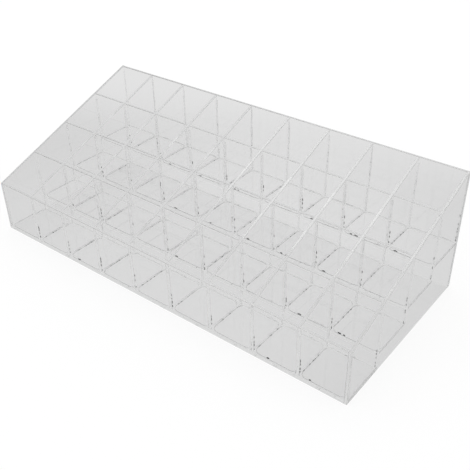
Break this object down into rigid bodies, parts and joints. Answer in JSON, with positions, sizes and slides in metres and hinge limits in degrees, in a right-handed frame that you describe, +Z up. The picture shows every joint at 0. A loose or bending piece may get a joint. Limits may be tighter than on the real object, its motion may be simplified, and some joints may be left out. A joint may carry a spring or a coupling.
{
  "type": "vanity organizer",
  "caption": "Clear sheet vanity organizer with square open cells on floors that step up to the back, for standing lipsticks and small cosmetics.",
  "frame": {"origin": "middle of the footprint, on the surface that the organizer stands on", "axes": "+Z up, +X along the length to the right as seen from the front, the front faces -Y"},
  "size_m": [0.2212, 0.0992, 0.0656],
  "materials": {
    "clear_acrylic": "clear and glossy, with polished edges"
  },
  "bodies": {
    "root": {"left_end_panel": "clear_acrylic", "right_end_panel": "clear_acrylic", "front_panel": "clear_acrylic", "back_panel": "clear_acrylic", "tier_floor_1": "clear_acrylic", "tier_floor_2": "clear_acrylic", "tier_floor_3": "clear_acrylic", "tier_floor_4": "clear_acrylic", "row_wall_1": "clear_acrylic", "row_wall_2": "clear_acrylic", "row_wall_3": "clear_acrylic", "column_divider_1": "clear_acrylic", "column_divider_2": "clear_acrylic", "column_divider_3": "clear_acrylic", "column_divider_4": "clear_acrylic", "column_divider_5": "clear_acrylic", "column_divider_6": "clear_acrylic", "column_divider_7": "clear_acrylic", "column_divider_8": "clear_acrylic"}
  },
  "joints": []
}
